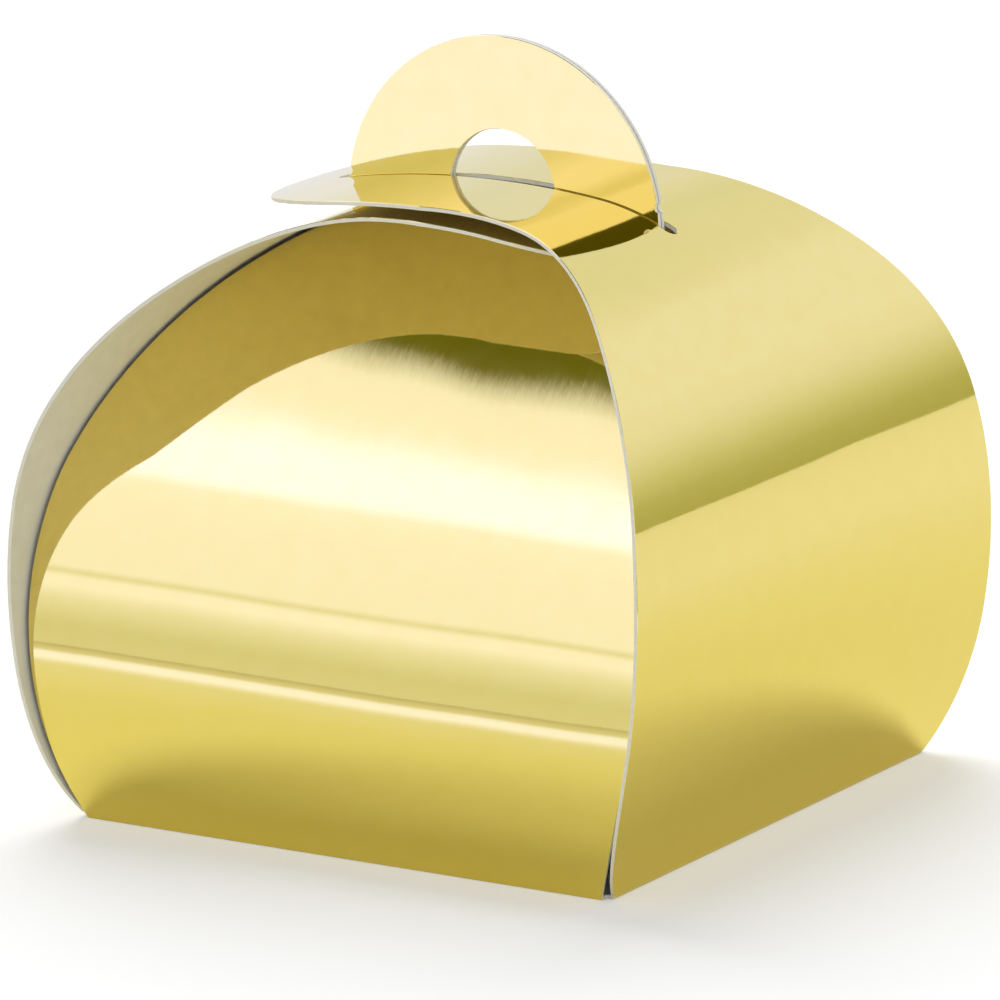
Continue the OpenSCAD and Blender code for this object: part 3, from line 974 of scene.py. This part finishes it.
def end_card(name, side_turn, shift, seed):
    """A front or back card: base crease, wall, handle crease and handle leaf, in one sheet."""
    card = bpy.context.scene.favor_box_card
    fold, row = card.fold_radius / MM, card.row_size / MM
    profile = end_bows(fold)
    foot_at, crease_at, fold_end = profile.spans[1][0], profile.spans[4][0], profile.length
    ridge_at = crease_at + fold_reach(fold, 90, RIDGE_SLOPE)
    top_at = ridge_at - FOLD_GAP
    leaf_zero = fold_end - profile.end[1]

    def on_leaf(points, height):
        return [(leaf_zero + height + z, w + shift) for w, z in points]

    edge = end_edge(profile, ridge_at, top_at)
    half = [(NECK_HALF, CARD / 2)] + notched_round()
    other = [(-w, z) for w, z in reversed(half[:-1])]
    outline = (edge + [(top_at, shift + NECK_HALF)] + on_leaf(half + other, ROUND_HEIGHT)
               + [(top_at, shift - NECK_HALF)] + [(s, -w) for s, w in reversed(edge)])
    low = math.asin((RIDGE[1] + HOLE_FLOOR - ROUND_HEIGHT - HOLE_RISE) / HOLE_RADIUS)
    hole = on_leaf(arc_points((0, 0), HOLE_RADIUS, low, math.pi - low, 64),
                   ROUND_HEIGHT + HOLE_RISE)
    rows = (steps(0, foot_at, FOLD_STEP) + steps(foot_at, crease_at, row)[1:-1]
            + steps(crease_at, fold_end, FOLD_STEP)
            + steps(fold_end, leaf_zero + ROUND_HEIGHT + HANDLE_RADIUS, row)[1:])
    return wide_card(name, outline, hole, rows, profile, side_turn, seed)


class FAVORBOX_OT_end_cards(bpy.types.Operator):
    """Fold the front and back cards, whose leaves stand up as the handle"""

    bl_idname = "favorbox.end_cards"
    bl_label = "End Cards"

    def execute(self, context):
        seed = context.scene.favor_box_card.seed
        for side, side_turn, shift in (("front", -90, -HANDLE_SHIFT), ("back", 90, HANDLE_SHIFT)):
            piece = end_card(f"{side}_card", side_turn, shift, seed + 7 + side_turn)
            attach(piece, "box_body")
            settle(piece, "gold_card", f"{side}_base_crease", f"{side}_wall",
                   f"{side}_handle_crease", f"{side}_handle")
        return {"FINISHED"}


def base_card(card):
    """The base panel, with its foiled side underneath and a relief cut in each corner."""
    corner, half = CREASE[0], CREASE[0] - FOLD_GAP
    cut = math.asin(FOLD_GAP / CORNER_RELIEF)
    relief = arc_points((corner, corner), CORNER_RELIEF, math.pi * 1.5 - cut, math.pi + cut, 12)
    outline = []
    for c, s in ((1, 0), (0, 1), (-1, 0), (0, -1)):
        outline += [(c * x - s * y, s * x + c * y) for x, y in relief]
    lines = steps(-half + 1, half - 1, 2.0)
    blank = card_blank("base_card", [split_loop(outline, 2.0)], lines, lines, card.bevel / MM)
    flat = Profile((0, CARD / 2), 0, [(0.001, 1000)])
    return fold_card("base_card", blank, flat, 0, card.seed, 0.0)


def crease_card(name, card, side_turn):
    """The short fold between the base and a side card."""
    fold = card.fold_radius / MM
    start, foot = crease_bows(fold, SIDE_RADIUS)
    profile = Profile(start, 0, [(foot, fold)])
    run = FOLD_GAP - fold_reach(fold, 0, FOOT_SLOPE)
    low, high = -run, profile.length + run
    outline = [(low, -CREASE_HALF), (high, -CREASE_HALF), (high, CREASE_HALF), (low, CREASE_HALF)]
    rows = steps(0, profile.length, FOLD_STEP / 2)
    columns = steps(-CREASE_COLUMNS, CREASE_COLUMNS, COLUMN_STEP)
    blank = card_blank(name, [split_loop(outline, OUTLINE_STEP)], rows, columns, CREASE_BEVEL)
    return fold_card(name, blank, profile, side_turn, card.seed, 0.0)


class FAVORBOX_OT_base(bpy.types.Operator):
    """Cut the base, and fold the two creases that the side cards turn on"""

    bl_idname = "favorbox.base"
    bl_label = "Base"

    def execute(self, context):
        card = context.scene.favor_box_card
        piece = base_card(card)
        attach(piece, "box_body")
        settle(piece, "gold_card", "base_panel")
        for side, side_turn, way in (("right", 0, 1), ("left", 180, -1)):
            piece = crease_card(f"{side}_crease", card, side_turn)
            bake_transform(piece)
            settle(piece, "gold_card", f"{side}_base_crease")
        return {"FINISHED"}


# Stage

DARK_LEVEL = 0.08
# The studio as the foil mirrors it: (elevation in degrees, level of light) towards the front,
# the back and the far left, with a bright soft box over the front and a dark gap above it
FRONT_LIGHT = (
    (0, 0.76), (5, 0.74), (8.5, 0.82), (12, 0.92), (15.5, 1.09), (17.6, 1.08), (19, 0.86),
    (20.4, 1.05), (36, 1.07), (43, 1.11), (46, 1.34), (51, 1.34), (53, 1.1), (56.1, 1.05),
    (56.5, 0.16), (60, DARK_LEVEL), (68, DARK_LEVEL), (76, 0.7), (90, 0.8))
BACK_LIGHT = (
    (-4, 0.45), (-1, 0.49), (1, 0.52), (5, 0.64), (10, 0.79), (14, 0.87), (20, 0.91),
    (30, 0.9), (34, 0.8), (40, 0.76), (90, 0.76))
LEFT_LIGHT = ((-2, 0.84), (4, 0.86), (8, 0.82), (14, 0.78), (22, 0.82), (30, 0.78), (90, 0.76))
# The way to the middle of the front, how far towards it the front light fades in, and the
# azimuths between which the light of the back gives way to that of the far left, in degrees
FRONT_WAY = (-0.643, -0.766, 0.0)
FRONT_FADE = (-0.2, 0.6)
LEFT_FADE = (85, 108)
# A dark patch of the studio: the middle and half the width of its azimuth and its elevation
DARK_PATCH = ((-100, 8), (31, 7))
# The light that the board and the floor take in: its level up to the first elevation, in
# degrees, and from the second one up
SOFT_LIGHT = ((30, 1.12), (50, 0.12))
WHITE = (1.0, 1.0, 1.0, 1.0)
# The floor as the foil mirrors it: its tone near the box, a painted shade with a painted gold
# bounce, and far from it, the two distances in millimetres, an even warm glow added to it, the
# painted strip of light in front of the box, given by where it starts, is brightest from and to,
# and ends, and the painted light added there
FLOOR_PAINTED_SHADE_TONES = ((0.98, 0.96, 0.66), (1.03, 1.04, 1.06))
FLOOR_PAINTED_SHADE_AT = (60, 190)
FLOOR_FILL = (0.09, 0.09, 0.035)
PAINTED_FLOOR_STRIP = (150, 225, 300, 420)
PAINTED_STRIP_LIGHT = (0.35, 0.42, 1.4)
# Painted gold bounce: the warm tone of the floor that the board takes in, next to so much gold
FLOOR_PAINTED_BOUNCE = (0.97, 0.92, 0.66)


def glow(level):
    """The colour of the studio at a level of light: cool where it is bright, warm where dim."""
    return level, 1.05 * level, 1.58 * level ** 2.4


GLOW_TOP = max(glow(1.4))


def glow_share(level):
    """That colour as a part of the brightest, as a socket takes it."""
    return (*(c / GLOW_TOP for c in glow(level)), 1.0)


def light_ramp(nodes, share, stops):
    """A colour ramp over elevation, from straight down to straight up."""
    made = nodes.add("ValToRGB", {"Fac": share})
    elements = made.color_ramp.elements
    elements.remove(elements[1])
    for i, (degrees, level) in enumerate(stops):
        place = (degrees + 90) / 180
        element = elements[0] if i == 0 else elements.new(place)
        element.position = place
        element.color = glow_share(level)
    return made.outputs[0]


def ray_kinds(nodes):
    """What a ray is, and whether it comes by way of a mirror or glass."""
    rays = nodes.add("LightPath").outputs
    return rays, nodes.math("MAXIMUM", rays["Is Glossy Ray"], rays["Is Transmission Ray"])


def pale_floor(studio):
    """The floor's finish: white to the camera. To mirrored rays it has tones of its own, with a
    painted shade and gold bounce near the box and a painted strip of light in front of it; diffuse
    rays take in a painted gold bounce from it.
    """
    material = bpy.data.materials.new("pale_floor")
    nodes = Nodes(emptied(material))
    rays, shiny = ray_kinds(nodes)
    place = nodes.add("TexCoord").outputs["Object"]
    distance = nodes.add("VectorMath", {0: place}, operation="LENGTH").outputs["Value"]
    away = nodes.add("SeparateXYZ", {0: place}).outputs["Y"]

    def grown(value, start, end):
        return nodes.mapped(value, start * MM, end * MM)

    near, far, painted_bounce, plain = (
        rgba(studio.floor_colour, tone) for tone in (*FLOOR_PAINTED_SHADE_TONES, FLOOR_PAINTED_BOUNCE, (1, 1, 1)))
    # Painted shade and painted gold bounce on the floor near the box, for mirrored rays only
    mirrored = nodes.mix(grown(distance, *FLOOR_PAINTED_SHADE_AT), near, far)
    # Painted gold bounce light: diffuse rays take in a warm floor
    taken_in = nodes.mix(rays["Is Diffuse Ray"], plain, painted_bounce)
    matt = nodes.get("BsdfDiffuse", {"Color": nodes.mix(shiny, taken_in, mirrored)})
    # A painted strip of light on the floor in front of the box, for mirrored rays only
    start, bright_from, bright_to, end = (-y for y in PAINTED_FLOOR_STRIP)
    front = nodes.times(grown(away, start, bright_from), grown(away, end, bright_to))
    mirrored_glow_and_painted_strip = nodes.mix(front, rgba(FLOOR_FILL), rgba(PAINTED_STRIP_LIGHT))
    lift = nodes.get("Emission", {
        "Color": nodes.mix(shiny, rgba((studio.floor_lift,) * 3), mirrored_glow_and_painted_strip),
        "Strength": nodes.math("MAXIMUM", rays["Is Camera Ray"], shiny)})
    nodes.add("OutputMaterial", {"Surface": nodes.get("AddShader", {0: matt, 1: lift})})
    return material


def place_on_stage(name, data, place, turned):
    """A new object of the stage that isn't a floor, at its place."""
    made = bpy.data.objects.new(name, data)
    made.matrix_world = Matrix.Translation(place) @ turned.to_4x4()
    bpy.context.scene.collection.objects.link(made)
    return made


class FAVORBOX_OT_stage(bpy.types.Operator):
    """Set the plain floor, the soft studio light and the camera"""

    bl_idname = "favorbox.stage"
    bl_label = "Stage"

    def execute(self, context):
        studio = context.scene.favor_box_studio
        context.scene.view_settings.view_transform = "Standard"
        self.camera(context, studio)
        self.floor(context, studio)
        self.key_lamp(studio)
        self.world(context)
        return {"FINISHED"}

    def camera(self, context, studio):
        yaw, pitch, roll = studio.camera_yaw, studio.camera_pitch, studio.camera_roll
        flat = math.cos(pitch)
        ahead = Vector((-math.sin(yaw) * flat, math.cos(yaw) * flat, -math.sin(pitch)))
        right = Vector((math.cos(yaw), math.sin(yaw), 0))
        up = right.cross(ahead)
        aside = math.cos(roll) * right + math.sin(roll) * up
        above = -math.sin(roll) * right + math.cos(roll) * up
        data = bpy.data.cameras.new("camera")
        data.lens, data.sensor_width = studio.lens, 36.0
        data.clip_start, data.clip_end = 0.01, 20.0
        turned = Matrix((aside, above, -ahead)).transposed()
        context.scene.camera = place_on_stage("camera", data, studio.camera_place, turned)

    def floor(self, context, studio):
        mesh = bpy.data.meshes.new("floor")
        form = bmesh.new()
        bmesh.ops.create_circle(form, cap_ends=True, radius=studio.floor_radius, segments=96,
                                matrix=Matrix.Translation((*studio.floor_middle, 0.0)))
        form.to_mesh(mesh)
        form.free()
        mesh.materials.append(pale_floor(studio))
        floor = bpy.data.objects.new("floor", mesh)
        context.scene.collection.objects.link(floor)

    def key_lamp(self, studio):
        data = bpy.data.lights.new("key_lamp", "AREA")
        data.shape, data.size, data.energy = "DISK", studio.key_size, studio.key_power
        flat = math.cos(studio.key_elevation)
        way = Vector((flat * math.cos(studio.key_azimuth), flat * math.sin(studio.key_azimuth),
                      math.sin(studio.key_elevation)))
        turned = way.to_track_quat("Z", "Y").to_matrix()
        lamp = place_on_stage("key_lamp", data, way * studio.key_distance, turned)
        lamp.visible_glossy = False

    def world(self, context):
        world = bpy.data.worlds.new("studio")
        context.scene.world = world
        nodes = Nodes(emptied(world))
        way = nodes.add("TexCoord").outputs["Generated"]
        x, y, z = nodes.add("SeparateXYZ", {0: way}).outputs
        height, azimuth = nodes.math("ARCSINE", z), nodes.math("ARCTAN2", y, x)
        share = nodes.plus(nodes.over(height, math.pi), 0.5)
        front, back, left = (
            light_ramp(nodes, share, stops) for stops in (FRONT_LIGHT, BACK_LIGHT, LEFT_LIGHT))
        facing = nodes.add("VectorMath", {0: way, 1: FRONT_WAY}, operation="DOT_PRODUCT")
        # A little over one, so that nothing is divided by zero straight up
        flat = nodes.math("SQRT", nodes.minus(1.0001, nodes.times(z, z)))
        side = nodes.mapped(nodes.over(facing.outputs["Value"], flat), *FRONT_FADE)
        far_left = nodes.mapped(azimuth, *map(math.radians, LEFT_FADE))
        seen = nodes.mix(side, nodes.mix(far_left, back, left), front)
        patch = [nodes.math("COMPARE", angle, math.radians(middle), math.radians(half))
                 for angle, (middle, half) in zip((azimuth, height), DARK_PATCH)]
        seen = nodes.mix(nodes.times(*patch), seen, glow_share(DARK_LEVEL))
        (low, below), (high, above) = SOFT_LIGHT
        level = nodes.mapped(height, math.radians(low), math.radians(high), below, above)
        mirrored, soft, white = (
            nodes.get("Background", {"Color": colour, "Strength": strength})
            for colour, strength in ((seen, GLOW_TOP), (WHITE, level), (WHITE, 1.0)))
        rays, shiny = ray_kinds(nodes)
        # What board and floor gather by way of the foil is the plain soft light too
        shiny = nodes.times(shiny, nodes.math("LESS_THAN", rays["Diffuse Depth"], 0.5))
        lit = nodes.get("MixShader", {0: shiny, 1: soft, 2: mirrored})
        shown = nodes.get("MixShader", {0: rays["Is Camera Ray"], 1: lit, 2: white})
        nodes.add("OutputWorld", {"Surface": shown})


class FAVORBOX_PT_panel(bpy.types.Panel):
    """Lists the steps and settings of the favor box"""

    bl_idname = "FAVORBOX_PT_panel"
    bl_label = "Favor Box"
    bl_space_type = "VIEW_3D"
    bl_region_type = "UI"
    bl_category = "Favor Box"

    def draw(self, context):
        for step in STEPS:
            self.layout.operator(step.bl_idname, text=step.bl_label)
        for label in SETTINGS:
            group = getattr(context.scene, label)
            column = self.layout.column()
            for key in group.bl_rna.properties.keys():
                if key not in {"rna_type", "name"}:
                    column.prop(group, key)


STEPS = (FAVORBOX_OT_stage, FAVORBOX_OT_base, FAVORBOX_OT_end_cards, FAVORBOX_OT_side_cards)
SETTINGS = {"favor_box_card": FavorBoxCard, "favor_box_look": FavorBoxLook,
            "favor_box_studio": FavorBoxStudio}
CLASSES = (*SETTINGS.values(), *STEPS, FAVORBOX_PT_panel)


def register():
    for kind in CLASSES:
        bpy.utils.register_class(kind)
    for label, kind in SETTINGS.items():
        setattr(bpy.types.Scene, label, PointerProperty(type=kind))


def unregister():
    for label in SETTINGS:
        delattr(bpy.types.Scene, label)
    for kind in reversed(CLASSES):
        bpy.utils.unregister_class(kind)


def main():
    register()
    bpy.ops.favorbox.stage()
    bpy.ops.favorbox.base()
    bpy.ops.favorbox.end_cards()
    bpy.ops.favorbox.side_cards()


if __name__ == "__main__":
    main()
